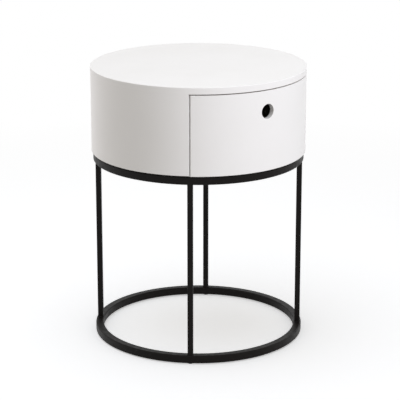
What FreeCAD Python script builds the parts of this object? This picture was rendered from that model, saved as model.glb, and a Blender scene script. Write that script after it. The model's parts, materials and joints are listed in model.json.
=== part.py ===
import FreeCAD, Part
import math
import os
import re

import Sketcher

# Round nightstand: a lacquered drum with one curved drawer on a welded frame of square tube.
# Millimetres and degrees. The floor is z = 0, the drum stands about the Z axis, the drawer opens towards -Y.

driving = {
    # Drum boards
    "drum_radius": 200,
    "drum_height": 160,
    "top_thickness": 12,
    "bottom_thickness": 12,
    "wall_thickness": 12,
    "partition_thickness": 12,
    "edge_radius": 1,
    "glue_gap": 0.2,
    "opening_angle": 42.45,
    # Drawer
    "front_thickness": 9.5,
    "front_gap": 1.5,
    "front_top_gap": 2,
    "front_edge_radius": 0.6,
    "front_drop": 0.8,
    "closing_gap": 1,
    "finger_hole_radius": 13.5,
    "finger_hole_drop": 38.1,
    "box_thickness": 12,
    "box_height": 104,
    "box_lift": 6,
    "rear_clearance": 22,
    "tray_thickness": 5,
    "tray_lift": 10,
    "groove_depth": 5,
    "groove_play": 0.3,
    # Ball slides
    "rail_height": 35,
    "rail_sheet": 1.2,
    "rail_setback": 9.5,
    "rail_far_gap": 1.3,
    "race_lip_angle": 25,
    "race_flange_angle": 30,
    "ball_radius": 2.5,
    "ball_play": 0.2,
    "cage_length": 65,
    "cage_sheet": 0.7,
    "cage_gap": 0.5,
    "cage_rim": 0.9,
    "stop_thickness": 1.5,
    "stop_clearance": 2,
    "stop_half_height": 4,
    # Wood screws and dowels
    "screw_radius": 1.75,
    "screw_head_radius": 3.2,
    "screw_reach": 9,
    "back_screw_reach": 18,
    "tray_screw_reach": 14,
    "screw_play": 0.1,
    "dowel_radius": 3,
    "dowel_in_panel": 8,
    "dowel_in_board": 16,
    "dowel_in_front": 7,
    "dowel_play": 0.1,
    "dowel_slack": 0.5,
    # Frame
    "ring_inset": 3,
    "ring_tube": 15,
    "ring_wall": 1.5,
    "ring_corner": 2,
    "leg_tube": 10,
    "leg_wall": 1.2,
    "leg_corner": 1,
    "leg_length": 323,
    "vent_radius": 2.5,
    "plate_thickness": 2,
    "plate_width": 30,
    "plate_lap": 10,
    "plate_reach": 24,
    "plate_corner": 4,
    "bolt_radius": 3,
    "bolt_reach": 8,
    "bolt_head_radius": 5.2,
    "bolt_head_height": 3.3,
    "bolt_play": 0.3,
    "socket_radius": 2.3,
    "socket_depth": 2,
    "insert_radius": 4.5,
    "insert_length": 10,
    "insert_play": 0.1,
    "glide_radius": 5,
    "glide_height": 1.5,
    "glide_stem_radius": 2.5,
    "glide_stem_length": 6,
    "glide_play": 0.1,
    # Every cut runs past the face that it leaves by this much
    "overrun": 1,
}

sides = {"left": -1, "right": 1}
leg_names = ["front_right_leg", "rear_right_leg", "rear_left_leg", "front_left_leg"]
full_turn = 360
half_turn = full_turn / 2
leg_step = full_turn / len(leg_names)
plate_count = 3
plate_step = full_turn / plate_count
socket_sides = 6
countersink_taper = -45
bolt_head_taper = -15
balls_in_row = 5
wall_dowel_shares = [-0.76, -0.38, 0, 0.38, 0.76]
partition_dowel_shares = [-0.6, 0, 0.6]
front_dowel_height_shares = [0.25, 0.8]
back_screw_height_shares = [0.3, 0.85]
cabinet_screw_shares = [0.08, 0.45, 0.9]
drawer_screw_shares = [0.1, 0.5, 0.9]
tray_screw_shares = [-0.6, 0, 0.6]
tiny = 1e-4

# Sizes and places that follow from the driving ones. Distances named front are measured towards -Y.
derived = {
    # Levels, from the floor up
    "base_ring_top": "glide_height + ring_tube",
    "top_ring_bottom": "base_ring_top + leg_length",
    "top_ring_top": "top_ring_bottom + ring_tube",
    "drum_bottom": "top_ring_top + plate_thickness",
    "bottom_top": "drum_bottom + bottom_thickness",
    "drum_top": "drum_bottom + drum_height",
    "top_under": "drum_top - top_thickness",
    "front_bottom": "drum_bottom - front_drop",
    "front_top": "top_under - front_top_gap",
    "hole_level": "front_top - finger_hole_drop",
    "box_bottom": "bottom_top + box_lift",
    "tray_bottom": "box_bottom + tray_lift",
    "tray_top": "tray_bottom + tray_thickness",
    "box_top": "box_bottom + box_height",
    "rail_level": "box_bottom + box_height / 2",
    # Radii about the drum's axis
    "wall_inner": "drum_radius - wall_thickness",
    "wall_middle": "drum_radius - wall_thickness / 2",
    "front_inner": "drum_radius - front_thickness",
    "notch_radius": "front_inner - closing_gap",
    "partition_reach": "wall_inner - glue_gap",
    "side_reach": "front_inner - glue_gap",
    "tray_reach": "front_inner + groove_depth - groove_play",
    "ring_outer": "drum_radius - ring_inset",
    "ring_inner": "ring_outer - ring_tube",
    "ring_middle": "ring_outer - ring_tube / 2",
    "plate_outer": "ring_inner + plate_lap",
    "plate_inner": "ring_inner - plate_reach",
    "bolt_circle": "ring_inner - plate_reach / 2",
    # Ball slide, measured from the partition's face towards the drawer
    "race_radius": "ball_radius + ball_play",
    "race_back": "race_radius + rail_sheet",
    "cage_start": "rail_sheet + cage_gap",
    "cage_web_end": "cage_start + cage_sheet",
    "ball_depth": "cage_web_end + cage_gap + race_back * cos(race_lip_angle * 1 deg)",
    "cage_end": "ball_depth + ball_radius + ball_play + cage_rim",
    "rail_depth": "cage_end + rail_far_gap + rail_sheet",
    "ball_rise": "rail_height / 2 - race_back",
    "cabinet_flange": "ball_rise + race_back * sin(race_flange_angle * 1 deg)",
    "cabinet_flange_in": "cabinet_flange - rail_sheet",
    "drawer_flange": "ball_rise - race_radius * sin(race_flange_angle * 1 deg)",
    "drawer_flange_in": "drawer_flange - rail_sheet",
    "screw_head_depth": "rail_sheet",
    # Across the drum
    "opening_half": "drum_radius * sin(opening_angle * 1 deg)",
    "partition_far": "opening_half + partition_thickness",
    "partition_middle": "opening_half + partition_thickness / 2",
    "front_half": "opening_half - front_gap",
    "box_half": "opening_half - rail_depth",
    "box_inner": "box_half - box_thickness",
    "box_side_middle": "box_half - box_thickness / 2",
    "tray_half": "box_inner + groove_depth - groove_play",
    "groove_half": "box_inner + groove_depth",
    # Along the drawer's travel
    "partition_short": "sqrt(partition_reach^2 - partition_far^2)",
    "side_middle_front": "sqrt(front_inner^2 - box_side_middle^2)",
    "rail_front": "sqrt(front_inner^2 - front_half^2) - rail_setback",
    "box_rear": "sqrt(wall_inner^2 - box_half^2) - rear_clearance",
    "back_front": "box_rear - box_thickness",
    "rail_length": "rail_front + box_rear",
    "stop_room": "stop_thickness + stop_clearance",
    "drawer_travel": "rail_length - cage_length - 2 * stop_room",
    "cage_front": "rail_front - stop_room - drawer_travel / 2",
    # The front left leg stands under the drawer's left edge, and the rear dowels share out the wall's arc
    "front_leg_angle": f"{leg_step} - opening_angle",
    "wall_half_arc": f"{half_turn} - opening_angle",
}

doc = FreeCAD.newDocument("round_nightstand")
sizes = doc.addObject("Spreadsheet::Sheet", "sizes")
for row, (name, number) in enumerate(driving.items(), start=1):
    sizes.set(f"A{row}", name)
    sizes.set(f"B{row}", str(number))
    sizes.setAlias(f"B{row}", name)
doc.recompute()
nodes = []


def formula(text):
    """Writes a formula in the sheet's cells: a derived name becomes its own formula, in brackets."""
    def cell(match):
        word = match.group()
        if word in driving:
            return f"sizes.{word}"
        if word in derived:
            return f"({formula(derived[word])})"
        return word
    return re.sub(r"[a-z_]+", cell, text)


def value(text):
    return float(sizes.evalExpression(formula(text)))


def flip(side, text):
    """The same distance to the right or, for side -1, to the left."""
    return text if side > 0 else f"-({text})"


def polar(radius, angle):
    """A place at a radius, turned by an angle from straight ahead (-Y) towards +X."""
    return f"({radius}) * sin(({angle}) * 1 deg)", f"-({radius}) * cos(({angle}) * 1 deg)"


def leg_angle(number):
    return f"front_leg_angle + {number * leg_step}"


def plate_angle(number):
    """Three plates, none of them under the drawer front."""
    return f"{(number + 0.5) * plate_step}"


def new_body(label):
    body = doc.addObject("PartDesign::Body", label)
    body.Label = label
    body.AllowCompound = True
    nodes.append(body)
    return body


def origin_item(body, role):
    return next(item for item in body.Origin.OriginFeatures if item.Role == role)


def new_sketch(body, role="XY_Plane", offset="0"):
    """A sketch on an origin plane of the body, moved along the plane's normal."""
    sketch = body.newObject("Sketcher::SketchObject", f"{body.Label}_sketch")
    sketch.AttachmentSupport = [(origin_item(body, role), "")]
    sketch.MapMode = "FlatFace"
    sketch.setExpression("AttachmentOffset.Base.z", formula(offset))
    return sketch


def dimension(sketch, constraint, text):
    index = sketch.addConstraint(constraint)
    sketch.setExpression(f"Constraints[{index}]", formula(text))


def fix_point(sketch, geometry, point, x, y):
    """Ties a sketch point to both its coordinates, or to an axis where a coordinate is zero."""
    for kind, axis, text in (("DistanceX", -2, x), ("DistanceY", -1, y)):
        if text == "0":
            sketch.addConstraint(Sketcher.Constraint("PointOnObject", geometry, point, axis))
        else:
            dimension(sketch, Sketcher.Constraint(kind, -1, 1, geometry, point, value(text)), text)


def flat_point(x, y):
    return FreeCAD.Vector(value(x), value(y), 0)


def flat_circle(x, y, radius):
    return Part.Circle(flat_point(x, y), FreeCAD.Vector(0, 0, 1), value(radius))


def add_circles(sketch, places, radius):
    for x, y in places:
        index = sketch.addGeometry(flat_circle(x, y, radius))
        dimension(sketch, Sketcher.Constraint("Radius", index, value(radius)), radius)
        fix_point(sketch, index, 3, x, y)


def add_arc(sketch, start, end, bend):
    """An arc between two points, given as (radius, centre x, centre y, turn), turn 1 anticlockwise."""
    radius, centre_x, centre_y, turn = bend
    circle = flat_circle(centre_x, centre_y, radius)
    first, last = (start, end) if turn > 0 else (end, start)
    begin = circle.parameter(first)
    sweep = (circle.parameter(last) - begin) % math.tau
    index = sketch.addGeometry(Part.ArcOfCircle(circle, begin, begin + sweep))
    dimension(sketch, Sketcher.Constraint("Radius", index, value(radius)), radius)
    return (index, 1, 2) if turn > 0 else (index, 2, 1)


def add_outline(sketch, corners):
    """A closed outline through corners (x, y), where a third item bends the edge that leaves the corner."""
    points = [flat_point(x, y) for x, y, *bend in corners]
    edges = []
    for number, (x, y, *bend) in enumerate(corners):
        start = points[number]
        end = points[(number + 1) % len(points)]
        if bend:
            edges.append(add_arc(sketch, start, end, bend[0]))
        else:
            edges.append((sketch.addGeometry(Part.LineSegment(start, end)), 1, 2))
    for number, (x, y, *bend) in enumerate(corners):
        index, first, last = edges[number]
        before, before_first, before_last = edges[number - 1]
        sketch.addConstraint(Sketcher.Constraint("Coincident", before, before_last, index, first))
        fix_point(sketch, index, first, x, y)


def rectangle(left, right, low, high):
    return [(left, low), (right, low), (right, high), (left, high)]


def rounded_rectangle(left, right, low, high, radius):
    in_left = f"({left}) + {radius}"
    in_right = f"({right}) - {radius}"
    in_low = f"({low}) + {radius}"
    in_high = f"({high}) - {radius}"
    return [
        (in_left, low), (in_right, low, (radius, in_right, in_low, 1)),
        (right, in_low), (right, in_high, (radius, in_right, in_high, 1)),
        (in_right, high), (in_left, high, (radius, in_left, in_high, 1)),
        (left, in_high), (left, in_low, (radius, in_left, in_low, 1)),
    ]


def pad(sketch, length, along=True, taper=0):
    """Grows the sketch along its plane's normal, or against it."""
    body = sketch.getParentGeoFeatureGroup()
    feature = body.newObject("PartDesign::Pad", f"{body.Label}_pad")
    feature.Profile = sketch
    feature.Reversed = not along
    feature.TaperAngle = taper
    feature.setExpression("Length", formula(length))
    doc.recompute()
    return feature


def pocket(sketch, length, along=True, taper=0):
    """Cuts the sketch along its plane's normal, or against it, and tests that something was cut."""
    body = sketch.getParentGeoFeatureGroup()
    before = body.Shape.Volume
    feature = body.newObject("PartDesign::Pocket", f"{body.Label}_pocket")
    feature.Profile = sketch
    feature.Reversed = along
    feature.TaperAngle = taper
    feature.setExpression("Length", formula(length))
    doc.recompute()
    if body.Shape.Volume >= before:
        raise RuntimeError(f"{feature.Label} cuts nothing")
    return feature


def pad_outline(body, corners, low, height, role="XY_Plane", along=True):
    sketch = new_sketch(body, role, low)
    add_outline(sketch, corners)
    return pad(sketch, height, along)


def cut_outline(body, corners, low, height, role="XY_Plane", along=True):
    sketch = new_sketch(body, role, low)
    add_outline(sketch, corners)
    return pocket(sketch, height, along)


def pad_circles(body, places, radius, low, height, role="XY_Plane", along=True, taper=0):
    sketch = new_sketch(body, role, low)
    add_circles(sketch, places, radius)
    return pad(sketch, height, along, taper)


def drill(body, places, radius, low, depth, role="XY_Plane", along=True, taper=0):
    sketch = new_sketch(body, role, low)
    add_circles(sketch, places, radius)
    return pocket(sketch, depth, along, taper)


def countersink(body, places, face, along, role="YZ_Plane"):
    """Cone seats for screw heads that end flush with a face."""
    mouth = "screw_head_radius + screw_play"
    drill(body, places, mouth, face, "screw_head_depth", role, along, countersink_taper)


def round_edges(body, chosen, radius):
    base = body.Tip
    names = [f"Edge{number}" for number, edge in enumerate(base.Shape.Edges, start=1) if chosen(edge)]
    if not names:
        raise RuntimeError(f"{body.Label} has no such edge")
    feature = body.newObject("PartDesign::Fillet", f"{body.Label}_fillet")
    feature.Base = (base, names)
    feature.setExpression("Radius", formula(radius))
    doc.recompute()


def on_drum_surface(edge):
    """True for an edge that runs on the drum's outer cylinder."""
    points = edge.discretize(5)
    return all(abs(math.hypot(point.x, point.y) - value("drum_radius")) < tiny for point in points)


def lies_at(edge, level):
    return all(abs(point.z - value(level)) < tiny for point in edge.discretize(5))


def is_upright(edge):
    """True for a straight upright edge at the front half, where the drawer is, and not for a seam behind."""
    box = edge.BoundBox
    return box.ZLength > tiny and box.XLength < tiny and box.YLength < tiny and edge.CenterOfMass.y < -tiny


def repeat_round(body, features, count):
    """Repeats features about the drum's axis and turns the set to its place."""
    pattern = body.newObject("PartDesign::PolarPattern", f"{body.Label}_pattern")
    pattern.Originals = features
    pattern.Axis = (origin_item(body, "Z_Axis"), [""])
    pattern.Angle = full_turn
    pattern.Occurrences = count
    body.Tip = pattern
    doc.recompute()


def turn_body(body, angle):
    body.setExpression("Placement.Rotation.Angle", formula(f"({angle}) * 1 deg"))


def share_of(low, high, share):
    return f"({low}) + (({high}) - ({low})) * {share}"


# Places that more than one piece needs
partition_dowel_places = [
    (flip(side, "partition_middle"), "0" if share == 0 else f"partition_short * {share}")
    for side in sides.values() for share in partition_dowel_shares
]
wall_dowel_angles = [f"{half_turn} + wall_half_arc * {share}" for share in wall_dowel_shares]
wall_dowel_places = [polar("wall_middle", angle) for angle in wall_dowel_angles]
carcass_dowel_places = partition_dowel_places + wall_dowel_places
bolt_places = [polar("bolt_circle", plate_angle(number)) for number in range(plate_count)]
leg_places = [polar("ring_middle", leg_angle(number)) for number in range(len(leg_names))]


def rail_screw_places(shares):
    return [(share_of("-(rail_front)", "box_rear", share), "rail_level") for share in shares]


def top_panel():
    body = new_body("top_panel")
    pad_circles(body, [("0", "0")], "drum_radius", "top_under", "top_thickness")
    round_edges(body, lambda edge: lies_at(edge, "drum_top"), "edge_radius")
    drill(body, carcass_dowel_places, "dowel_radius + dowel_play", "top_under", "dowel_in_panel")


def bottom_panel():
    """A disc with a notch in front, where the drawer front comes down past its edge."""
    body = new_body("bottom_panel")
    pad_circles(body, [("0", "0")], "drum_radius", "drum_bottom", "bottom_thickness")
    corner = "-sqrt(notch_radius^2 - opening_half^2)"
    past = "-(drum_radius + overrun)"
    notch = [
        ("-(opening_half)", corner, ("notch_radius", "0", "0", 1)),
        ("opening_half", corner), ("opening_half", past), ("-(opening_half)", past),
    ]
    cut_outline(body, notch, "drum_bottom - overrun", "bottom_thickness + 2 * overrun")
    round_edges(body, lambda edge: on_drum_surface(edge) and not lies_at(edge, "bottom_top"), "edge_radius")
    hole = "dowel_radius + dowel_play"
    drill(body, carcass_dowel_places, hole, "bottom_top", "dowel_in_panel", along=False)
    drill(body, bolt_places, "insert_radius + insert_play", "drum_bottom", "insert_length")


def side_wall():
    """A bent board that runs round the drum from one side of the drawer to the other."""
    body = new_body("side_wall")
    sketch = new_sketch(body, offset="bottom_top")
    add_circles(sketch, [("0", "0")], "drum_radius")
    add_circles(sketch, [("0", "0")], "wall_inner")
    pad(sketch, "top_under - bottom_top")
    opening = rectangle("-(opening_half)", "opening_half", "-(drum_radius + overrun)", "0")
    cut_outline(body, opening, "bottom_top - overrun", "top_under - bottom_top + 2 * overrun")
    round_edges(body, lambda edge: on_drum_surface(edge) and is_upright(edge), "edge_radius")
    hole = "dowel_radius + dowel_play"
    drill(body, wall_dowel_places, hole, "bottom_top", "dowel_in_board")
    drill(body, wall_dowel_places, hole, "top_under", "dowel_in_board", along=False)


def partition(name, side):
    """An upright board beside the drawer, cut at both ends to the curve of the wall."""
    body = new_body(f"{name}_partition")
    near = flip(side, "opening_half")
    far = flip(side, "partition_far")
    near_end = "sqrt(partition_reach^2 - opening_half^2)"
    bend = ("partition_reach", "0", "0", side)
    corners = [
        (near, f"-{near_end}", bend), (far, "-(partition_short)"),
        (far, "partition_short", bend), (near, near_end),
    ]
    pad_outline(body, corners, "bottom_top", "top_under - bottom_top")
    places = partition_dowel_places[:3] if side < 0 else partition_dowel_places[3:]
    hole = "dowel_radius + dowel_play"
    drill(body, places, hole, "bottom_top", "dowel_in_board")
    drill(body, places, hole, "top_under", "dowel_in_board", along=False)
    screws = rail_screw_places(cabinet_screw_shares)
    drill(body, screws, "screw_radius + screw_play", near, "screw_reach + overrun", "YZ_Plane", side > 0)


def carcass_dowels():
    body = new_body("carcass_dowels")
    length = "dowel_in_panel + dowel_in_board - 2 * dowel_slack"
    for low in ("bottom_top - dowel_in_panel + dowel_slack", "top_under - dowel_in_board + dowel_slack"):
        pad_circles(body, carcass_dowel_places, "dowel_radius", low, length)


def rail_corners(side, profile):
    """Turns a slide's profile (depth from the partition, height, bend) into sketch corners."""
    def place(depth, height):
        return flip(side, f"opening_half - ({depth})"), f"rail_level + ({height})"
    corners = []
    for depth, height, *bend in profile:
        corner = place(depth, height)
        if bend:
            radius, centre_height, turn = bend[0]
            corner += ((radius, *place("ball_depth", centre_height), -side * turn),)
        corners.append(corner)
    return corners


def cabinet_rail(name, side):
    """The fixed rail: a rolled sheet whose two edges curl over the balls."""
    body = new_body(f"{name}_cabinet_rail")
    lip = "(race_lip_angle * 1 deg)"
    flange = "(race_flange_angle * 1 deg)"
    race_end = "ball_depth - sqrt(race_radius^2 - (cabinet_flange_in - ball_rise)^2)"
    upper_out = [
        (f"ball_depth + race_back * cos{lip}", f"ball_rise + race_back * sin{lip}",
         ("race_back", "ball_rise", 1)),
        (f"ball_depth - race_back * cos{flange}", "cabinet_flange"),
        ("0", "cabinet_flange"),
    ]
    lower_out = [
        ("0", "-(cabinet_flange)"),
        (f"ball_depth - race_back * cos{flange}", "-(cabinet_flange)", ("race_back", "-(ball_rise)", 1)),
        (f"ball_depth + race_back * cos{lip}", f"-(ball_rise + race_back * sin{lip})"),
    ]
    lower_in = [
        (f"ball_depth + race_radius * cos{lip}", f"-(ball_rise + race_radius * sin{lip})",
         ("race_radius", "-(ball_rise)", -1)),
        (race_end, "-(cabinet_flange_in)"),
        ("rail_sheet", "-(cabinet_flange_in)"),
    ]
    upper_in = [
        ("rail_sheet", "cabinet_flange_in"),
        (race_end, "cabinet_flange_in", ("race_radius", "ball_rise", -1)),
        (f"ball_depth + race_radius * cos{lip}", f"ball_rise + race_radius * sin{lip}"),
    ]
    corners = rail_corners(side, upper_out + lower_out + lower_in + upper_in)
    pad_outline(body, corners, "rail_front", "rail_length", "XZ_Plane", along=False)
    stop = rail_corners(side, [
        ("rail_sheet / 2", "-(stop_half_height)"), ("cage_web_end", "-(stop_half_height)"),
        ("cage_web_end", "stop_half_height"), ("rail_sheet / 2", "stop_half_height"),
    ])
    pad_outline(body, stop, "rail_front", "stop_thickness", "XZ_Plane", along=False)
    face = flip(side, "opening_half - rail_sheet")
    countersink(body, rail_screw_places(cabinet_screw_shares), face, side > 0)


def drawer_rail(name, side):
    """The moving rail: a rolled sheet whose two edges run under the balls of the fixed one."""
    body = new_body(f"{name}_drawer_rail")
    lip = "(race_lip_angle * 1 deg)"
    flange = "(race_flange_angle * 1 deg)"
    back_end = "ball_depth + sqrt(race_back^2 - (ball_rise - drawer_flange_in)^2)"
    upper_out = [
        (f"ball_depth - race_back * cos{lip}", f"ball_rise - race_back * sin{lip}"),
        (f"ball_depth - race_radius * cos{lip}", f"ball_rise - race_radius * sin{lip}",
         ("race_radius", "ball_rise", 1)),
        (f"ball_depth + race_radius * cos{flange}", "drawer_flange"),
        ("rail_depth", "drawer_flange"),
    ]
    lower_out = [
        ("rail_depth", "-(drawer_flange)"),
        (f"ball_depth + race_radius * cos{flange}", "-(drawer_flange)", ("race_radius", "-(ball_rise)", 1)),
        (f"ball_depth - race_radius * cos{lip}", f"-(ball_rise - race_radius * sin{lip})"),
        (f"ball_depth - race_back * cos{lip}", f"-(ball_rise - race_back * sin{lip})",
         ("race_back", "-(ball_rise)", -1)),
    ]
    inside = [
        (back_end, "-(drawer_flange_in)"),
        ("rail_depth - rail_sheet", "-(drawer_flange_in)"),
        ("rail_depth - rail_sheet", "drawer_flange_in"),
        (back_end, "drawer_flange_in", ("race_back", "ball_rise", -1)),
    ]
    corners = rail_corners(side, upper_out + lower_out + inside)
    pad_outline(body, corners, "rail_front", "rail_length", "XZ_Plane", along=False)
    stop = rail_corners(side, [
        ("cage_start", "-(stop_half_height)"), ("rail_depth - rail_sheet / 2", "-(stop_half_height)"),
        ("rail_depth - rail_sheet / 2", "stop_half_height"), ("cage_start", "stop_half_height"),
    ])
    pad_outline(body, stop, "-(box_rear)", "stop_thickness", "XZ_Plane")
    face = flip(side, "box_half + rail_sheet")
    countersink(body, rail_screw_places(drawer_screw_shares), face, side < 0)


def ball_rows():
    """Places of one row's balls along the cage, at rest."""
    return [share_of("-(cage_front)", "cage_length - (cage_front)", (number + 0.5) / balls_in_row)
            for number in range(balls_in_row)]


def ball_cage(name, side):
    """A folded strip with a row of holes in each flange, which spaces the balls."""
    body = new_body(f"{name}_ball_cage")
    low = "ball_rise - cage_sheet / 2"
    high = "ball_rise + cage_sheet / 2"
    corners = rail_corners(side, [
        ("cage_start", f"-({high})"), ("cage_end", f"-({high})"),
        ("cage_end", f"-({low})"), ("cage_web_end", f"-({low})"),
        ("cage_web_end", low), ("cage_end", low),
        ("cage_end", high), ("cage_start", high),
    ])
    pad_outline(body, corners, "cage_front", "cage_length", "XZ_Plane", along=False)
    places = [(flip(side, "opening_half - ball_depth"), row) for row in ball_rows()]
    drill(body, places, "ball_radius + ball_play / 2", "rail_level - rail_height / 2", "rail_height")


def balls(name, side):
    group = doc.addObject("Part::Compound", f"{name}_balls")
    group.Label = f"{name}_balls"
    members = []
    for row in ball_rows():
        for height in ("ball_rise", "-(ball_rise)"):
            ball = doc.addObject("Part::Sphere", f"{name}_ball")
            ball.setExpression("Radius", formula("ball_radius"))
            ball.setExpression("Placement.Base.x", formula(flip(side, "opening_half - ball_depth")))
            ball.setExpression("Placement.Base.y", formula(row))
            ball.setExpression("Placement.Base.z", formula(f"rail_level + ({height})"))
            members.append(ball)
    group.Links = members
    nodes.append(group)


def countersunk_screws(body, places, face, along, reach, role="YZ_Plane"):
    """Screws with a flush cone head that ends at a face, and a shank that goes on behind it."""
    pad_circles(body, places, "screw_head_radius", face, "screw_head_depth", role, along, countersink_taper)
    pad_circles(body, places, "screw_radius", face, f"screw_head_depth + ({reach})", role, along)


def rail_screws():
    cabinet = new_body("cabinet_rail_screws")
    drawer = new_body("drawer_rail_screws")
    cabinet_places = rail_screw_places(cabinet_screw_shares)
    drawer_places = rail_screw_places(drawer_screw_shares)
    for side in sides.values():
        face = flip(side, "opening_half - rail_sheet")
        countersunk_screws(cabinet, cabinet_places, face, side > 0, "screw_reach")
        face = flip(side, "box_half + rail_sheet")
        countersunk_screws(drawer, drawer_places, face, side < 0, "screw_reach")


def front_dowel_places():
    levels = [share_of("tray_top", "box_top", share) for share in front_dowel_height_shares]
    return [(flip(side, "box_side_middle"), level) for side in sides.values() for level in levels]


def back_screw_places():
    levels = [share_of("tray_top", "box_top", share) for share in back_screw_height_shares]
    return [("box_rear - box_thickness / 2", level) for level in levels]


def tray_screw_places():
    return [("0" if share == 0 else f"box_inner * {share}", "box_rear - box_thickness / 2")
            for share in tray_screw_shares]


def drawer_front():
    """A curved board with a finger hole, grooved behind for the tray and bored for the sides' dowels."""
    body = new_body("drawer_front")
    outer = "-sqrt(drum_radius^2 - front_half^2)"
    inner = "-sqrt(front_inner^2 - front_half^2)"
    corners = [
        ("-(front_half)", outer, ("drum_radius", "0", "0", 1)), ("front_half", outer),
        ("front_half", inner, ("front_inner", "0", "0", -1)), ("-(front_half)", inner),
    ]
    pad_outline(body, corners, "front_bottom", "front_top - (front_bottom)")
    drill(body, [("0", "hole_level")], "finger_hole_radius", "0", "drum_radius + overrun", "XZ_Plane")
    round_edges(body, on_drum_surface, "front_edge_radius")
    reach = "tray_reach + groove_play"
    corner = f"-sqrt(({reach})^2 - groove_half^2)"
    groove = [
        ("-(groove_half)", corner, (reach, "0", "0", 1)), ("groove_half", corner),
        ("groove_half", "0"), ("-(groove_half)", "0"),
    ]
    cut_outline(body, groove, "tray_bottom - groove_play", "tray_thickness + 2 * groove_play")
    drill(body, front_dowel_places(), "dowel_radius + dowel_play", "side_middle_front - dowel_in_front",
          "2 * dowel_in_front", "XZ_Plane")


def drawer_side(name, side):
    """A side board of the drawer, cut in front to the curve of the drawer front and grooved for the tray."""
    body = new_body(f"{name}_drawer_side")
    near = flip(side, "box_inner")
    far = flip(side, "box_half")
    corners = [
        (near, "-sqrt(side_reach^2 - box_inner^2)", ("side_reach", "0", "0", side)),
        (far, "-sqrt(side_reach^2 - box_half^2)"), (far, "box_rear"), (near, "box_rear"),
    ]
    pad_outline(body, corners, "box_bottom", "box_height")
    inside = flip(side, "box_inner - overrun")
    groove = rectangle(inside, flip(side, "groove_half"), "-(drum_radius)", "box_rear + overrun")
    cut_outline(body, groove, "tray_bottom - groove_play", "tray_thickness + 2 * groove_play")
    places = front_dowel_places()[:2] if side < 0 else front_dowel_places()[2:]
    drill(body, places, "dowel_radius + dowel_play", "side_middle_front + dowel_in_front",
          "dowel_in_front + dowel_in_board", "XZ_Plane", along=False)
    hole = "screw_radius + screw_play"
    rail = rail_screw_places(drawer_screw_shares)
    drill(body, rail, hole, far, "screw_reach + overrun", "YZ_Plane", side < 0)
    drill(body, back_screw_places(), hole, far, "box_thickness + overrun", "YZ_Plane", side < 0)
    countersink(body, back_screw_places(), far, side < 0)


def drawer_back():
    body = new_body("drawer_back")
    half = "box_inner - glue_gap"
    corners = rectangle(f"-({half})", half, "back_front", "box_rear")
    pad_outline(body, corners, "tray_top", "box_top - (tray_top)")
    for side in sides.values():
        drill(body, back_screw_places(), "screw_radius + screw_play", flip(side, "box_half"),
              "box_thickness + back_screw_reach + overrun", "YZ_Plane", side < 0)
    drill(body, tray_screw_places(), "screw_radius + screw_play", "tray_top", "tray_screw_reach + overrun")


def drawer_tray():
    """The drawer's bottom, held in the grooves of the front and sides and screwed up into the back."""
    body = new_body("drawer_tray")
    corner = "-sqrt(tray_reach^2 - tray_half^2)"
    corners = [
        ("-(tray_half)", corner, ("tray_reach", "0", "0", 1)), ("tray_half", corner),
        ("tray_half", "box_rear"), ("-(tray_half)", "box_rear"),
    ]
    pad_outline(body, corners, "tray_bottom", "tray_thickness")
    places = tray_screw_places()
    drill(body, places, "screw_radius + screw_play", "tray_bottom", "tray_thickness + overrun")
    countersink(body, places, "tray_bottom", True, "XY_Plane")


def drawer_fixings():
    dowels = new_body("front_dowels")
    start = "side_middle_front + dowel_in_front - dowel_slack"
    length = "dowel_in_front + dowel_in_board - 2 * dowel_slack"
    pad_circles(dowels, front_dowel_places(), "dowel_radius", start, length, "XZ_Plane", along=False)
    back = new_body("back_screws")
    for side in sides.values():
        reach = "box_thickness - screw_head_depth + back_screw_reach"
        countersunk_screws(back, back_screw_places(), flip(side, "box_half"), side < 0, reach)
    tray = new_body("tray_screws")
    reach = "tray_thickness - screw_head_depth + tray_screw_reach"
    countersunk_screws(tray, tray_screw_places(), "tray_bottom", True, reach, "XY_Plane")


def ring(label, low):
    """A square tube rolled to a ring: its section turned about the drum's axis."""
    body = new_body(label)
    sketch = new_sketch(body, "XZ_Plane")
    high = f"{low} + ring_tube"
    add_outline(sketch, rounded_rectangle("ring_inner", "ring_outer", low, high, "ring_corner"))
    add_outline(sketch, rectangle("ring_inner + ring_wall", "ring_outer - ring_wall",
                                  f"{low} + ring_wall", f"{high} - ring_wall"))
    feature = body.newObject("PartDesign::Revolution", f"{label}_revolution")
    feature.Profile = sketch
    feature.ReferenceAxis = (sketch, ["V_Axis"])
    feature.Angle = full_turn
    doc.recompute()
    return body


def rings():
    """Both rings are vented into the legs, and the base ring is bored for its glides."""
    base = ring("base_ring", "glide_height")
    drill(base, leg_places, "vent_radius", "base_ring_top", "ring_wall + overrun", along=False)
    drill(base, leg_places, "glide_stem_radius + glide_play", "glide_height", "ring_wall + overrun")
    top = ring("top_ring", "top_ring_bottom")
    drill(top, leg_places, "vent_radius", "top_ring_bottom", "ring_wall + overrun")


def leg(label, number):
    body = new_body(label)
    sketch = new_sketch(body, offset="base_ring_top")
    half = "leg_tube / 2"
    near = "-(ring_middle) + leg_tube / 2"
    far = "-(ring_middle) - leg_tube / 2"
    add_outline(sketch, rounded_rectangle(f"-{half}", half, far, near, "leg_corner"))
    bore = "leg_tube / 2 - leg_wall"
    add_outline(sketch, rectangle(f"-({bore})", bore, f"{far} + leg_wall", f"{near} - leg_wall"))
    pad(sketch, "leg_length")
    turn_body(body, leg_angle(number))


def mounting_plates():
    """Plates welded on the top ring, which carry the drum clear of the ring."""
    body = new_body("mounting_plates")
    sketch = new_sketch(body, offset="top_ring_top")
    half = "plate_width / 2"
    corners = rounded_rectangle(f"-{half}", half, "-(plate_outer)", "-(plate_inner)", "plate_corner")
    add_outline(sketch, corners)
    add_circles(sketch, [("0", "-(bolt_circle)")], "bolt_radius + bolt_play")
    plate = pad(sketch, "plate_thickness")
    repeat_round(body, [plate], plate_count)
    turn_body(body, plate_angle(0))


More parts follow.
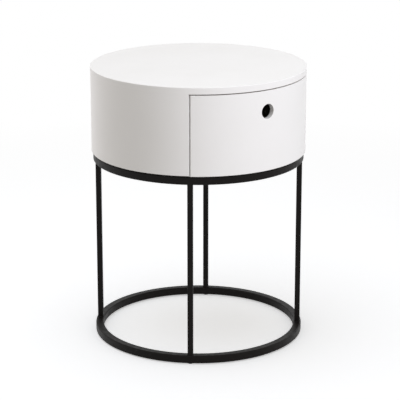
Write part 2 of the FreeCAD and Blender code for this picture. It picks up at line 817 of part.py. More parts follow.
def frame_bolts():
    """Socket-head bolts that go up through the plates into the bottom panel's inserts."""
    body = new_body("frame_bolts")
    place = [("0", "-(bolt_circle)")]
    shank = pad_circles(body, place, "bolt_radius", "top_ring_top", "plate_thickness + bolt_reach")
    head = pad_circles(body, place, "bolt_head_radius", "top_ring_top", "bolt_head_height",
                       along=False, taper=bolt_head_taper)
    corners = []
    for number in range(socket_sides):
        x, y = polar("socket_radius", f"{(number + 0.25) * full_turn / socket_sides}")
        corners.append((x, f"-(bolt_circle) + {y}"))
    socket = cut_outline(body, corners, "top_ring_top - bolt_head_height", "socket_depth")
    repeat_round(body, [shank, head, socket], plate_count)
    turn_body(body, plate_angle(0))


def threaded_inserts():
    body = new_body("threaded_inserts")
    sketch = new_sketch(body, offset="drum_bottom")
    place = [("0", "-(bolt_circle)")]
    add_circles(sketch, place, "insert_radius")
    add_circles(sketch, place, "bolt_radius + bolt_play / 2")
    insert = pad(sketch, "insert_length")
    repeat_round(body, [insert], plate_count)
    turn_body(body, plate_angle(0))


def floor_glides():
    """Push-in glides under the legs: a foot below the base ring and a stem through its wall."""
    body = new_body("floor_glides")
    pad_circles(body, leg_places, "glide_radius", "0", "glide_height")
    pad_circles(body, leg_places, "glide_stem_radius", "glide_height", "glide_stem_length")


top_panel()
bottom_panel()
side_wall()
carcass_dowels()
for name, side in sides.items():
    partition(name, side)
    cabinet_rail(name, side)
    drawer_rail(name, side)
    ball_cage(name, side)
    balls(name, side)
    drawer_side(name, side)
rail_screws()
drawer_front()
drawer_back()
drawer_tray()
drawer_fixings()
rings()
for number, label in enumerate(leg_names):
    leg(label, number)
mounting_plates()
frame_bolts()
threaded_inserts()
floor_glides()

doc.recompute()
for item in doc.Objects:
    if "Invalid" in item.State or "Error" in item.State:
        raise RuntimeError(f"{item.Label} failed: {item.State}")
for node in nodes:
    if node.Shape.isNull() or not node.Shape.isValid():
        raise RuntimeError(f"{node.Label} has no valid shape")
os.makedirs("parts", exist_ok=True)
for node in nodes:
    node.Shape.exportStep(f"parts/{node.Label}.step")
    print(f"{node.Label}: {len(node.Shape.Solids)} solids, {node.Shape.Volume:.0f} mm3")
print(f"drawer travel {value('drawer_travel'):.2f} mm, slide depth {value('rail_depth'):.2f} mm")
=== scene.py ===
import bpy
import json
import math
import numpy as np
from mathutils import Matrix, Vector


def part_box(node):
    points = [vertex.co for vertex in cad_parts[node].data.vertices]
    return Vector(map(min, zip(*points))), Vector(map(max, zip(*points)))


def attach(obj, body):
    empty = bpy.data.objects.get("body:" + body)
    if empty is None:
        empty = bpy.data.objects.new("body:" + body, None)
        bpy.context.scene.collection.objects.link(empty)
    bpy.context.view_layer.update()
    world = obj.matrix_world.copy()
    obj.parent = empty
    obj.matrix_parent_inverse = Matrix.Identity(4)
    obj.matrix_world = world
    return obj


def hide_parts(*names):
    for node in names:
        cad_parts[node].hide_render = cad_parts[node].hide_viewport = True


# Round nightstand: white lacquered drum, curved drawer with a finger hole, black tube frame. Metres.

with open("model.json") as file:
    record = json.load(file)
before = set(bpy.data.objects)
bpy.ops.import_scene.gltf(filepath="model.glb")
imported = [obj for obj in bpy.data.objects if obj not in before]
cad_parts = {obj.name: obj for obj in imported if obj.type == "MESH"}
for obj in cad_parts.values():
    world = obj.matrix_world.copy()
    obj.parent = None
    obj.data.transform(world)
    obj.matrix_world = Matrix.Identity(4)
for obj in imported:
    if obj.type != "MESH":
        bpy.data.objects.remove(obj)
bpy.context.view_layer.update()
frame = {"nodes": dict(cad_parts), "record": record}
nodes = frame["nodes"]
scene = bpy.context.scene
print("frame loaded:", len(nodes), "nodes")


# node and mesh helpers

def addNode(tree, kind, inputs=None, **settings):
    made = tree.nodes.new(kind)
    for key, setting in settings.items():
        setattr(made, key, setting)
    for key, given in (inputs or {}).items():
        if isinstance(given, bpy.types.NodeSocket):
            tree.links.new(given, made.inputs[key])
        else:
            made.inputs[key].default_value = given
    return made


def mathNode(tree, operation, first, second=0.0):
    return addNode(tree, "ShaderNodeMath", {0: first, 1: second}, operation=operation).outputs[0]


def vectorMeasure(tree, operation, first, second=(0, 0, 0)):
    made = addNode(tree, "ShaderNodeVectorMath", {0: first, 1: second}, operation=operation)
    return made.outputs["Value"]


def remap(tree, value, fromLow, fromHigh, low, high):
    # a straight ramp, held at both ends
    return addNode(tree, "ShaderNodeMapRange", {
        "Value": value, "From Min": fromLow, "From Max": fromHigh, "To Min": low, "To Max": high}).outputs[0]


def blendColours(tree, factor, first, second):
    given = {0: factor}
    for key, colour in ((6, first), (7, second)):
        given[key] = colour if isinstance(colour, bpy.types.NodeSocket) else (*colour, 1)
    return addNode(tree, "ShaderNodeMix", given, data_type="RGBA").outputs[2]


noiseBand = (0.3, 0.7)       # nearly all of a noise's values lie in here


def grain(tree, place, size, detail, stretch=(1, 1, 1)):
    # noise whose patches are about size across, drawn out along an axis where stretch is small
    squeezed = addNode(tree, "ShaderNodeMapping", {"Vector": place, "Scale": stretch}).outputs[0]
    given = {"Vector": squeezed, "Scale": 1 / size, "Detail": detail}
    return addNode(tree, "ShaderNodeTexNoise", given).outputs[0]


edgeSense = {
    "flatTurn": 0.99,        # cosine of the normal's turn where rubbing starts
    "edgeTurn": 0.8,         # and where it is full
    "samples": 4,
}


def edgeMask(tree, reach):
    # 0 on flat faces, 1 on edges: how far the normal turns within reach
    rounded = addNode(tree, "ShaderNodeBevel", {"Radius": reach}, samples=edgeSense["samples"]).outputs[0]
    flat = addNode(tree, "ShaderNodeNewGeometry").outputs["Normal"]
    along = vectorMeasure(tree, "DOT_PRODUCT", rounded, flat)
    return remap(tree, along, edgeSense["flatTurn"], edgeSense["edgeTurn"], 0, 1)


def newFinish(name):
    material = bpy.data.materials.new(name)
    material.use_nodes = True
    tree = material.node_tree
    tree.nodes.clear()
    shader = addNode(tree, "ShaderNodeBsdfPrincipled")
    addNode(tree, "ShaderNodeOutputMaterial", {"Surface": shader.outputs[0]})
    place = addNode(tree, "ShaderNodeTexCoord").outputs["Object"]
    return material, tree, shader.inputs, place


def wire(tree, sockets, colour, roughness, height, strength, depth):
    # links a colour, a roughness and a height field to the shader
    tree.links.new(colour, sockets["Base Color"])
    tree.links.new(roughness, sockets["Roughness"])
    bump = addNode(tree, "ShaderNodeBump", {"Strength": strength, "Distance": depth, "Height": height})
    tree.links.new(bump.outputs[0], sockets["Normal"])


def gridFaces(rows, columns, closedAlong):
    # quads of a grid of points, row by row; every row runs round and closes
    index = np.arange(rows * columns).reshape(rows, columns)
    if closedAlong:
        index = np.vstack([index, index[:1]])
    index = np.hstack([index, index[:, :1]])
    corners = [index[:-1, :-1], index[:-1, 1:], index[1:, 1:], index[1:, :-1]]
    return np.stack(corners, axis=-1).reshape(-1, 4)


def meshObject(name, surfaces, closedAlong=False):
    # one object from several grids of points, each an array of rows x columns x 3 whose columns run round;
    # a grid that doesn't close along its rows gets a face over its first and its last row
    points, faces, start = [], [], 0
    for surface in surfaces:
        rows, columns = surface.shape[:2]
        faces += (gridFaces(rows, columns, closedAlong) + start).tolist()
        if not closedAlong:
            first = np.arange(columns) + start
            faces += [first[::-1].tolist(), (first + (rows - 1) * columns).tolist()]
        points.append(surface.reshape(-1, 3))
        start += rows * columns
    mesh = bpy.data.meshes.new(name)
    mesh.from_pydata(np.vstack(points).tolist(), [], faces)
    mesh.polygons.foreach_set("use_smooth", [True] * len(mesh.polygons))
    mesh.update()
    thing = bpy.data.objects.new(name, mesh)
    scene.collection.objects.link(thing)
    return thing


# In the finishes a noise is given as (size, detail), a bump as (strength, depth) and a band as the values
# between which a tone or a gloss changes.

# white lacquer on the drum and the drawer front
lacquer = {
    "colour": (0.845, 0.845, 0.843),
    "clouded": (0.832, 0.831, 0.827),
    "rubbed": (0.80, 0.797, 0.79),
    "specular": 0.42,
    "cloud": (0.11, 3.0),
    "cloudBand": (0.35, 0.65),
    "smear": (0.05, 4.0),
    "roughness": (0.36, 0.46),
    "peel": (0.0021, 1.0),   # orange peel of the sprayed coat
    "peelBump": (0.25, 0.00007),
    "edgeReach": 0.0016,
    "edgeShare": 0.35,
    "holeDrop": 0.0381,      # from the top of the drawer front to the finger hole's middle
    "touchReach": (0.036, 0.012),    # hands polish the front round the finger hole, fully from the second
    "touchGloss": 0.07,
    "paintedShadeBoard": (0.40, 0.29, 0.185),     # painted shade: a dark brown board tone on the top's downward faces, to darken the gap over the drawer
    "paintedShadeFleck": (0.30, 0.21, 0.13),
    "paintedShadeTurn": (-0.8, -0.95),       # upward part of the normal, from the white coat to the painted shade
    "paintedShadeRoughness": 0.8,
    "fleck": (0.0016, 4.0),
    "fleckBand": (0.4, 0.65),
}


def lacquerFinish(name, touchedAt=None, paintedShadeBelow=False):
    material, tree, sockets, place = newFinish(name)
    sockets["Specular IOR Level"].default_value = lacquer["specular"]
    cloud = remap(tree, grain(tree, place, *lacquer["cloud"]), *lacquer["cloudBand"], 0, 1)
    edgeMix = mathNode(tree, "MULTIPLY", edgeMask(tree, lacquer["edgeReach"]), lacquer["edgeShare"])
    colour = blendColours(tree, cloud, lacquer["colour"], lacquer["clouded"])
    colour = blendColours(tree, edgeMix, colour, lacquer["rubbed"])
    smear = grain(tree, place, *lacquer["smear"])
    roughness = remap(tree, smear, *noiseBand, *lacquer["roughness"])
    if touchedAt:
        away = vectorMeasure(tree, "DISTANCE", place, touchedAt)
        touch = remap(tree, away, *lacquer["touchReach"], 0, lacquer["touchGloss"])
        roughness = mathNode(tree, "SUBTRACT", roughness, touch)
    # painted shade: downward faces take a dark brown board tone with flecks, so that the gap over the drawer
    # comes out dark
    if paintedShadeBelow:
        normal = addNode(tree, "ShaderNodeNewGeometry").outputs["Normal"]
        upward = addNode(tree, "ShaderNodeSeparateXYZ", {0: normal}).outputs["Z"]
        paintedShadeMask = remap(tree, upward, *lacquer["paintedShadeTurn"], 0, 1)
        fleck = remap(tree, grain(tree, place, *lacquer["fleck"]), *lacquer["fleckBand"], 0, 1)
        paintedShadeBoard = blendColours(tree, fleck, lacquer["paintedShadeBoard"], lacquer["paintedShadeFleck"])
        colour = blendColours(tree, paintedShadeMask, colour, paintedShadeBoard)
        rougher = mathNode(tree, "MULTIPLY", paintedShadeMask, lacquer["paintedShadeRoughness"])
        roughness = mathNode(tree, "MAXIMUM", roughness, rougher)
    peel = grain(tree, place, *lacquer["peel"])
    wire(tree, sockets, colour, roughness, peel, *lacquer["peelBump"])
    return material


# white-faced board inside: partitions, drawer box and tray
board = {
    "innerBoard": {"colour": (0.80, 0.795, 0.785), "clouded": (0.775, 0.77, 0.755),
                   "edge": (0.72, 0.70, 0.67)},
    "drawerBoard": {"colour": (0.815, 0.81, 0.80), "clouded": (0.79, 0.785, 0.77),
                    "edge": (0.72, 0.70, 0.67)},
    "trayBoard": {"colour": (0.80, 0.795, 0.78), "clouded": (0.77, 0.765, 0.745),
                  "edge": (0.66, 0.62, 0.56)},
    "specular": 0.4,
    "cloud": (0.07, 3.0),
    "cloudBand": (0.35, 0.65),
    "roughness": (0.42, 0.55),
    "pressed": (0.0011, 2.0),        # the pressed texture of the facing, longer one way
    "pressedStretch": (1, 0.35, 1),
    "pressedBump": (0.3, 0.00005),
    "edgeReach": 0.0014,
}


def boardFinish(name):
    tones = board[name]
    material, tree, sockets, place = newFinish(name)
    sockets["Specular IOR Level"].default_value = board["specular"]
    cloud = remap(tree, grain(tree, place, *board["cloud"]), *board["cloudBand"], 0, 1)
    colour = blendColours(tree, cloud, tones["colour"], tones["clouded"])
    colour = blendColours(tree, edgeMask(tree, board["edgeReach"]), colour, tones["edge"])
    pressed = grain(tree, place, *board["pressed"], board["pressedStretch"])
    roughness = remap(tree, pressed, *noiseBand, *board["roughness"])
    wire(tree, sockets, colour, roughness, pressed, *board["pressedBump"])
    return material


# black powder coat on the frame
powder = {
    "colour": (0.0043, 0.0034, 0.0030),
    "speckled": (0.0072, 0.0062, 0.0056),
    # lighter edges: partly edge wear, partly a painted highlight along the tubes' edges
    "lighterEdge": (0.010, 0.0098, 0.0096),
    "specular": 0.115,
    "sand": (0.00062, 3.0),  # fine sand texture
    "sandBand": (0.4, 0.68),
    "sandBump": (0.5, 0.00011),
    "flow": (0.009, 2.0),
    "roughness": (0.38, 0.52),
    "edgeReach": 0.0007,
    "edgeShare": 0.5,
    "edgeBand": (0.35, 0.6),         # the flow breaks up the lighter edges, partly edge wear and partly a painted highlight
    "edgeLeast": 0.2,
}


def powderFinish(name):
    material, tree, sockets, place = newFinish(name)
    sockets["Specular IOR Level"].default_value = powder["specular"]
    sand = grain(tree, place, *powder["sand"])
    flow = grain(tree, place, *powder["flow"])
    speckle = remap(tree, sand, *powder["sandBand"], 0, 1)
    colour = blendColours(tree, speckle, powder["colour"], powder["speckled"])
    patchy = remap(tree, flow, *powder["edgeBand"], powder["edgeLeast"], 1)
    # the edges are painted lighter: partly edge wear, partly a painted highlight
    broken = mathNode(tree, "MULTIPLY", edgeMask(tree, powder["edgeReach"]), patchy)
    edgeMix = mathNode(tree, "MULTIPLY", broken, powder["edgeShare"])
    colour = blendColours(tree, edgeMix, colour, powder["lighterEdge"])
    roughness = remap(tree, flow, *noiseBand, *powder["roughness"])
    height = mathNode(tree, "ADD", sand, flow)
    wire(tree, sockets, colour, roughness, height, *powder["sandBump"])
    return material


# zinc-plated steel: drawn streaks along the slides, faint yellow passivation
zinc = {
    "colour": (0.60, 0.61, 0.63),
    "passivated": (0.63, 0.61, 0.54),
    "darkStreak": (0.42, 0.425, 0.43),
    "cloud": (0.03, 3.0),
    "cloudBand": (0.4, 0.7),
    "streak": (0.0009, 3.0),
    "alongSlide": (1, 0.02, 1),      # stretch of the streaks on the slides
    "acrossSlide": (0.3, 1, 0.3),    # and on the screws
    "streakBand": (0.52, 0.75),
    "streakShare": 0.6,
    "streakBump": (0.25, 0.00002),
    "roughness": (0.24, 0.44),
}


def zincFinish(name, stretch):
    material, tree, sockets, place = newFinish(name)
    sockets["Metallic"].default_value = 1.0
    cloud = remap(tree, grain(tree, place, *zinc["cloud"]), *zinc["cloudBand"], 0, 1)
    streak = grain(tree, place, *zinc["streak"], stretch)
    darker = remap(tree, streak, *zinc["streakBand"], 0, zinc["streakShare"])
    colour = blendColours(tree, cloud, zinc["colour"], zinc["passivated"])
    colour = blendColours(tree, darker, colour, zinc["darkStreak"])
    roughness = remap(tree, streak, *noiseBand, *zinc["roughness"])
    wire(tree, sockets, colour, roughness, streak, *zinc["streakBump"])
    return material


# plain metals and plastic: a base tone, a second tone in patches, worn edges
smallParts = {
    "ballSteel": {"colour": (0.70, 0.70, 0.71), "patch": (0.62, 0.62, 0.62), "edge": (0.72, 0.72, 0.72),
                  "size": 0.0016, "roughness": (0.06, 0.16), "metallic": 1.0, "depth": 0.000004},
    "insertBrass": {"colour": (0.70, 0.55, 0.29), "patch": (0.56, 0.41, 0.20), "edge": (0.80, 0.66, 0.40),
                    "size": 0.002, "roughness": (0.26, 0.42), "metallic": 1.0, "depth": 0.00002},
    "blackBolt": {"colour": (0.022, 0.022, 0.023), "patch": (0.035, 0.033, 0.03),
                  "edge": (0.12, 0.118, 0.115),
                  "size": 0.0015, "roughness": (0.32, 0.5), "metallic": 0.85, "depth": 0.00002},
    "glidePlastic": {"colour": (0.011, 0.011, 0.012), "patch": (0.017, 0.017, 0.017),
                     "edge": (0.03, 0.03, 0.03),
                     "size": 0.0012, "roughness": (0.42, 0.58), "metallic": 0.0, "depth": 0.00003},
    "detail": 3.0,
    "patchBand": (0.4, 0.65),
    "edgeReachShare": 0.25,          # of the patches' size
    "bumpStrength": 0.3,
}


def smallFinish(name):
    look = smallParts[name]
    material, tree, sockets, place = newFinish(name)
    sockets["Metallic"].default_value = look["metallic"]
    patch = grain(tree, place, look["size"], smallParts["detail"])
    patchy = remap(tree, patch, *smallParts["patchBand"], 0, 1)
    colour = blendColours(tree, patchy, look["colour"], look["patch"])
    lighterEdge = edgeMask(tree, look["size"] * smallParts["edgeReachShare"])
    colour = blendColours(tree, lighterEdge, colour, look["edge"])
    roughness = remap(tree, patch, *noiseBand, *look["roughness"])
    wire(tree, sockets, colour, roughness, patch, smallParts["bumpStrength"], look["depth"])
    return material


# beech dowels: grain along the dowel
beech = {
    "light": (0.66, 0.47, 0.30),
    "dark": (0.50, 0.32, 0.18),
    "fibre": (0.0009, 4.0),
    "fibreShare": 0.7,
    "fibreBump": (0.4, 0.00005),
    "fleck": (0.0022, 2.0),
    "fleckBand": (0.55, 0.7),
    "fleckShare": 0.5,
    "uprightGrain": (1, 1, 0.05),    # stretch in dowels that stand
    "levelGrain": (1, 0.05, 1),      # and in dowels that lie along the drawer's way
    "roughness": (0.55, 0.72),
}


def beechFinish(name, stretch):
    material, tree, sockets, place = newFinish(name)
    fibre = grain(tree, place, *beech["fibre"], stretch)
    fleck = grain(tree, place, *beech["fleck"], stretch)
    fibreShade = remap(tree, fibre, *noiseBand, 0, beech["fibreShare"])
    fleckShade = remap(tree, fleck, *beech["fleckBand"], 0, beech["fleckShare"])
    shade = mathNode(tree, "ADD", fibreShade, fleckShade)
    colour = blendColours(tree, shade, beech["light"], beech["dark"])
    roughness = remap(tree, fibre, *noiseBand, *beech["roughness"])
    wire(tree, sockets, colour, roughness, fibre, *beech["fibreBump"])
    return material


frontLow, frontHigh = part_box("drawer_front")
holeMiddle = (0.0, frontLow.y, frontHigh.z - lacquer["holeDrop"])
finishes = {
    "white_lacquer": lacquerFinish("whiteLacquer"),
    "inner_board": boardFinish("innerBoard"),
    "drawer_board": boardFinish("drawerBoard"),
    "tray_board": boardFinish("trayBoard"),
    "beech_dowel": beechFinish("uprightBeech", beech["uprightGrain"]),
    "black_powder_coat": powderFinish("blackPowderCoat"),
    "zinc_steel": zincFinish("slideZinc", zinc["alongSlide"]),
    "screw_steel": zincFinish("screwZinc", zinc["acrossSlide"]),
    "ball_steel": smallFinish("ballSteel"),
    "insert_brass": smallFinish("insertBrass"),
    "black_bolt": smallFinish("blackBolt"),
    "glide_plastic": smallFinish("glidePlastic"),
}
# nodes that differ from their slot: the top's downward faces, over the drawer, get a dark brown board tone as
# painted shade for the gap there
ownFinishes = {
    "top_panel": lacquerFinish("topLacquer", paintedShadeBelow=True),
    "drawer_front": lacquerFinish("frontLacquer", holeMiddle),
    "front_dowels": beechFinish("levelBeech", beech["levelGrain"]),
}
for piece in frame["record"]["subparts"]:
    name = piece["node"]
    finish = ownFinishes.get(name, finishes[piece["material_slot"]])
    for holder in nodes[name].material_slots:
        holder.material = finish
print("finishes on", len(nodes), "nodes")


def dress(thing, body, slot):
    # a new piece takes its slot's finish and moves with a body
    thing.data.materials.append(finishes[slot])
    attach(thing, body)


# weld beads where the legs meet the rings, full on the sides of a leg and thin on its inner and outer faces
weld = {
    "footAlong": 0.0013,     # out along the ring
    "footAcross": 0.0004,    # out across the ring, where the tube's corner leaves no room
    "riseAlong": 0.0012,
    "riseAcross": 0.0006,
    "sink": 0.00025,         # into the leg and the ring
    "squareness": 9,         # power of the rounded square that the bead runs round
    "ripples": 26,
    "swells": 3,             # slower than the ripples
    "rippleShare": 0.07,
    "upperPhase": 0.5,       # the upper bead's ripples start elsewhere
    "bulgeShare": 0.35,      # between a flat fillet (0) and a round bead (1)
    "around": 208,
    "across": 9,
}
legNames = ["front_left_leg", "front_right_leg", "rear_left_leg", "rear_right_leg"]


def beadSurface(middle, outward, level, upward, half, phase):
    # a closed section carried round a rounded square |a|^n + |b|^n = half^n; the section is a fillet whose
    # points slide from rise (on the leg) to foot (on the ring), both swollen by a ripple along the seam
    angle = np.linspace(0, math.tau, weld["around"], endpoint=False)[:, None]
    power = 2 / weld["squareness"]
    along = half * np.sign(np.cos(angle)) * np.abs(np.cos(angle)) ** power
    across = half * np.sign(np.sin(angle)) * np.abs(np.sin(angle)) ** power
    awayAlong = np.sign(np.cos(angle)) * np.abs(along / half) ** (weld["squareness"] - 1)
    awayAcross = np.sign(np.sin(angle)) * np.abs(across / half) ** (weld["squareness"] - 1)
    size = np.hypot(awayAlong, awayAcross)
    awayAlong, awayAcross = awayAlong / size, awayAcross / size
    wave = np.sin(weld["ripples"] * angle + phase) + np.sin(weld["swells"] * angle + 2 * phase)
    ripple = 1 + weld["rippleShare"] * wave
    foot = ripple * (weld["footAcross"] + (weld["footAlong"] - weld["footAcross"]) * awayAlong ** 2)
    rise = ripple * (weld["riseAcross"] + (weld["riseAlong"] - weld["riseAcross"]) * awayAlong ** 2)
    slide = np.linspace(0, 1, weld["across"])[None, :]
    bulge = weld["bulgeShare"]
    out = foot * ((1 - bulge) * slide + bulge * np.sin(slide * math.pi / 2))
    up = rise * ((1 - bulge) * (1 - slide) + bulge * np.cos(slide * math.pi / 2))
    sunk = np.full_like(foot, -weld["sink"])
    out = np.hstack([sunk, out, foot, sunk])
    up = np.hstack([rise, up, sunk, sunk])
    alongWay = np.array([-outward[1], outward[0]])
    atAlong = (along + awayAlong * out)[..., None] * alongWay
    atAcross = (across + awayAcross * out)[..., None] * outward
    return np.dstack([middle + atAlong + atAcross, level + upward * up])


def addWelds():
    # a bead at each end of a leg; the lower one is read backwards, so that its faces point outwards
    surfaces = []
    for number, name in enumerate(legNames):
        low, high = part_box(name)
        middle = np.array([(low.x + high.x) / 2, (low.y + high.y) / 2])
        outward = middle / np.hypot(*middle)
        width = high.x - low.x       # of the turned leg's box
        half = width / (abs(outward[0]) + abs(outward[1])) / 2
        surfaces.append(beadSurface(middle, outward, low.z, 1, half, number)[:, ::-1])
        surfaces.append(beadSurface(middle, outward, high.z, -1, half, number + weld["upperPhase"]))
    dress(meshObject("frameWelds", surfaces, True), "cabinet", "black_powder_coat")
    print("weld beads laid:", len(surfaces))


# countersunk wood screws with a cross recess and a thread, in place of the plain ones
screw = {
    "headRadius": 0.0032,
    "headDepth": 0.0012,
    "headRings": 12,
    "middleShare": 0.02,     # of the head's radius, where its innermost ring lies
    "shankRadius": 0.00175,
    "coreRadius": 0.00125,
    "threadPitch": 0.0012,
    "threadSharpness": 3.2,
    "tipLength": 0.003,
    "tipShare": 0.04,        # of the shank's radius, left at the tip
    "crossLength": 0.0019,
    "crossWidth": 0.00046,
    "crossDepth": 0.0011,
    "crossWall": 2,          # how steeply the recess drops at its sides
    "crossEnd": 1.6,         # and at the ends of its arms
    "around": 48,
    "perTurn": 7,
}


def screwSurface(length):
    # radius and height of a turned profile, head to tip; the head dips by a cross and the shank by a helix
    turnAngle = np.linspace(0, math.tau, screw["around"], endpoint=False)[None, :]
    head = np.linspace(screw["middleShare"], 1, screw["headRings"])[:, None] * screw["headRadius"]
    x, y = head * np.cos(turnAngle), head * np.sin(turnAngle)
    arm = np.minimum(np.abs(x), np.abs(y))
    reach = np.maximum(np.abs(x), np.abs(y))
    dip = np.clip((screw["crossWidth"] - arm) / screw["crossWidth"] * screw["crossWall"], 0, 1)
    dip = dip * np.clip((screw["crossLength"] - reach) / screw["crossLength"] * screw["crossEnd"], 0, 1)
    headPart = np.dstack([x, y, -screw["crossDepth"] * dip])
    rows = int((length - screw["headDepth"]) / screw["threadPitch"] * screw["perTurn"])
    down = np.linspace(0, 1, rows)[:, None] * (length - screw["headDepth"]) + screw["headDepth"]
    phase = (down / screw["threadPitch"] + turnAngle / math.tau) % 1
    crest = np.clip(1 - np.abs(phase - 0.5) * screw["threadSharpness"], 0, 1)     # 1 half way through a turn
    taper = np.clip((length - down) / screw["tipLength"], screw["tipShare"], 1)
    start = np.clip((down - screw["headDepth"]) / screw["threadPitch"], 0, 1)
    core = screw["coreRadius"] + (screw["shankRadius"] - screw["coreRadius"]) * (1 - start)
    radius = (core + (screw["shankRadius"] - core) * crest) * taper
    shank = np.dstack([radius * np.cos(turnAngle), radius * np.sin(turnAngle), -down + 0 * turnAngle])
    return np.vstack([headPart, shank])[:, ::-1]


def aimScrew(surface, spot, into):
    # turns the screw's way in, local -Z, to the given way and moves its head to the spot
    quaternion = Vector((0, 0, -1)).rotation_difference(Vector(into))
    return surface @ np.array(quaternion.to_matrix()).T + np.array(spot)


def addScrews(name, node, body, spots, length):
    surface = screwSurface(length)
    thing = meshObject(name, [aimScrew(surface, spot, into) for spot, into in spots])
    dress(thing, body, "screw_steel")
    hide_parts(node)
    print(name, len(spots))


fixing = {
    "railSheet": 0.0012,
    "railReach": 0.0102,     # head face to tip
    "backReach": 0.030,
    "trayReach": 0.019,
    "cabinetShares": (0.08, 0.45, 0.9),
    "drawerShares": (0.1, 0.5, 0.9),
    "backHeightShares": (0.3, 0.85),
    "trayShares": (-0.6, 0, 0.6),
}


def railSpots(node, shares, inward):
    # screw heads on a rail's web: the web lies on its partition or on its drawer side
    low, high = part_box(node)
    side = math.copysign(1, low.x)
    outer, inner = (low.x, high.x) if side < 0 else (high.x, low.x)
    face = inner + side * fixing["railSheet"] if inward else outer - side * fixing["railSheet"]
    into = (-side if inward else side, 0, 0)
    level = (low.z + high.z) / 2
    return [((face, low.y + (high.y - low.y) * share, level), into) for share in shares]


def addFixings():
    cabinet = railSpots("left_cabinet_rail", fixing["cabinetShares"], False)
    cabinet += railSpots("right_cabinet_rail", fixing["cabinetShares"], False)
    addScrews("cabinetRailScrews", "cabinet_rail_screws", "cabinet", cabinet, fixing["railReach"])
    drawer = railSpots("left_drawer_rail", fixing["drawerShares"], True)
    drawer += railSpots("right_drawer_rail", fixing["drawerShares"], True)
    addScrews("drawerRailScrews", "drawer_rail_screws", "drawer", drawer, fixing["railReach"])
    trayLow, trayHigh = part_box("drawer_tray")
    backLow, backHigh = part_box("drawer_back")
    sideLow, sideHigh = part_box("left_drawer_side")
    middle = (backLow.y + backHigh.y) / 2
    heights = [trayHigh.z + (backHigh.z - trayHigh.z) * share for share in fixing["backHeightShares"]]
    back = [((side * -sideLow.x, middle, height), (-side, 0, 0)) for side in (-1, 1) for height in heights]
    addScrews("backScrews", "back_screws", "drawer", back, fixing["backReach"])
    tray = [((-sideHigh.x * share, middle, trayLow.z), (0, 0, 1)) for share in fixing["trayShares"]]
    addScrews("trayScrews", "tray_screws", "drawer", tray, fixing["trayReach"])


addWelds()
addFixings()

# camera at the photo's angle; the image is 400 x 400
view = {
    "azimuth": -38.0,        # degrees from straight ahead of the drawer
    "distance": 3.170,       # from the drum's axis, along the floor
    "height": 1.1865,
    "pitch": 16.38,          # degrees below level
    "aimRight": 0.0029,      # the middle of the image lies this far right of the axis
    "focalPixels": 1747.5,
    "imagePixels": 400,
    "sensor": 36.0,          # mm
}
turn = math.radians(view["azimuth"])
rightWay = Vector((math.cos(turn), math.sin(turn), 0))
aheadWay = Vector((-math.sin(turn), math.cos(turn), 0))
upWay = Vector((0, 0, 1))


def studioPlace(right, ahead, up):
    # a place as the camera sees it: to the right of the drum's axis, away from the camera, above the floor
    return rightWay * right + aheadWay * ahead + upWay * up


def addCamera():
    data = bpy.data.cameras.new("photoCamera")
    data.sensor_width = view["sensor"]
    data.lens = view["focalPixels"] / view["imagePixels"] * view["sensor"]
    camera = bpy.data.objects.new("photoCamera", data)
    camera.location = studioPlace(0, -view["distance"], view["height"])
    level = (studioPlace(view["aimRight"], 0, 0) - studioPlace(0, -view["distance"], 0)).normalized()
    pitch = math.radians(view["pitch"])
    look = level * math.cos(pitch) - upWay * math.sin(pitch)
    camera.rotation_euler = look.to_track_quat("-Z", "Y").to_euler()
    scene.collection.objects.link(camera)
    scene.camera = camera


# soft lamps round the drum: place is (right, ahead, up), and level 1 lights a facing white to full white
lamps = {
    "overhead": {"place": (-0.25, -0.12, 2.6), "size": 2.6, "level": 0.355, "tint": (0.965, 1.0, 1.04),
                 "onFloor": True},
    "rightSoftbox": {"place": (1.8, -1.1, 1.9), "size": 1.0, "level": 0.378, "tint": (0.965, 1.0, 1.09),
                     "onFloor": False},
    "frontSoftbox": {"place": (1.3, -2.2, 1.2), "size": 1.6, "level": 0.332, "tint": (1.03, 1.0, 1.05),
                     "onFloor": False},
    "rearLeftSoftbox": {"place": (-2.2, 1.2, 1.0), "size": 1.6, "level": 0.44, "tint": (1.05, 1.0, 1.03),
                        "onFloor": False},
}
lampAim = (0, 0, 0.35)
surround = {"light": 0.339, "tint": (1.07, 1.0, 0.89), "seen": 1.0}


def addLamps():
    # a softbox is shielded from the floor, where only the overhead lamp casts a shadow, and leaves no glare
    pieces = bpy.data.collections.new("litPieces")
    for thing in [thing for thing in scene.objects if thing.type == "MESH"]:
        pieces.objects.link(thing)
    aim = Vector(lampAim)
    for name, lamp in lamps.items():
        data = bpy.data.lights.new(name, "AREA")
        data.shape = "DISK"
        data.size = lamp["size"]
        data.color = lamp["tint"]
        spot = studioPlace(*lamp["place"])
        reach = (spot - aim).length
        data.energy = lamp["level"] * math.pi ** 2 * reach ** 2
        holder = bpy.data.objects.new(name, data)
        holder.location = spot
        holder.rotation_euler = (aim - spot).to_track_quat("-Z", "Y").to_euler()
        scene.collection.objects.link(holder)
        if not lamp["onFloor"]:
            holder.light_linking.receiver_collection = pieces
            holder.visible_glossy = False


def seenDirectly(tree):
    # 1 for camera, glossy and transmission rays, 0 for the rays that carry light
    path = addNode(tree, "ShaderNodeLightPath").outputs
    either = mathNode(tree, "MAXIMUM", path["Is Camera Ray"], path["Is Glossy Ray"])
    return mathNode(tree, "MAXIMUM", either, path["Is Transmission Ray"])


white = (1, 1, 1, 1)


def addSurround():
    world = bpy.data.worlds.new("studio")
    world.use_nodes = True
    tree = world.node_tree
    tree.nodes.clear()
    tint = (*surround["tint"], 1)
    lit = addNode(tree, "ShaderNodeBackground", {"Color": tint, "Strength": surround["light"]})
    seen = addNode(tree, "ShaderNodeBackground", {"Color": white, "Strength": surround["seen"]})
    mix = addNode(tree, "ShaderNodeMixShader", {0: seenDirectly(tree), 1: lit.outputs[0], 2: seen.outputs[0]})
    addNode(tree, "ShaderNodeOutputWorld", {"Surface": mix.outputs[0]})
    scene.world = world


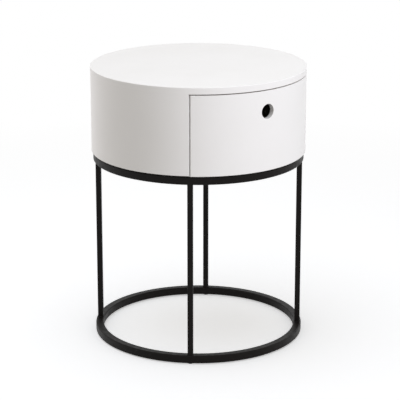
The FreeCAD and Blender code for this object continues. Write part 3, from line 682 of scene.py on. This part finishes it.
floorPlan = {
    "radius": 30.0,
    "shadeStart": 0.9,       # the floor takes shade up to here and is plain white from shadeEnd on
    "shadeEnd": 1.7,
    "shade": (1.02, 1.06, 1.14),     # what the floor takes of the lamps' light, cool against warm light
    "glow": 0.452,           # the rest, so that the open floor comes out white
    "farGlow": 1.0,
    "bounce": (0.8, 0.8, 0.8),       # colour for the light that it throws back
    "around": 96,
}


def addFloor():
    # one flat face with its corners on a circle about the axis
    angle = np.linspace(0, math.tau, floorPlan["around"], endpoint=False)
    rim = floorPlan["radius"] * np.stack([np.cos(angle), np.sin(angle), 0 * angle], axis=1)
    mesh = bpy.data.meshes.new("floor")
    mesh.from_pydata(rim.tolist(), [], [list(range(len(rim)))])
    floor = bpy.data.objects.new("floor", mesh)
    scene.collection.objects.link(floor)
    material = bpy.data.materials.new("paleFloor")
    material.use_nodes = True
    tree = material.node_tree
    tree.nodes.clear()
    bounce = addNode(tree, "ShaderNodeBsdfDiffuse", {"Color": (*floorPlan["bounce"], 1)})
    shade = addNode(tree, "ShaderNodeBsdfDiffuse", {"Color": (*floorPlan["shade"], 1)})
    glow = addNode(tree, "ShaderNodeEmission", {"Color": white, "Strength": floorPlan["glow"]})
    near = addNode(tree, "ShaderNodeAddShader", {0: shade.outputs[0], 1: glow.outputs[0]})
    far = addNode(tree, "ShaderNodeEmission", {"Color": white, "Strength": floorPlan["farGlow"]})
    place = addNode(tree, "ShaderNodeTexCoord").outputs["Object"]
    away = vectorMeasure(tree, "LENGTH", place)
    fade = remap(tree, away, floorPlan["shadeStart"], floorPlan["shadeEnd"], 0, 1)
    seen = addNode(tree, "ShaderNodeMixShader", {0: fade, 1: near.outputs[0], 2: far.outputs[0]})
    direct = seenDirectly(tree)
    mix = addNode(tree, "ShaderNodeMixShader", {0: direct, 1: bounce.outputs[0], 2: seen.outputs[0]})
    addNode(tree, "ShaderNodeOutputMaterial", {"Surface": mix.outputs[0]})
    floor.data.materials.append(material)


addCamera()
addLamps()
addSurround()
addFloor()
scene.view_settings.view_transform = "Standard"
print("camera, lamps and floor placed")
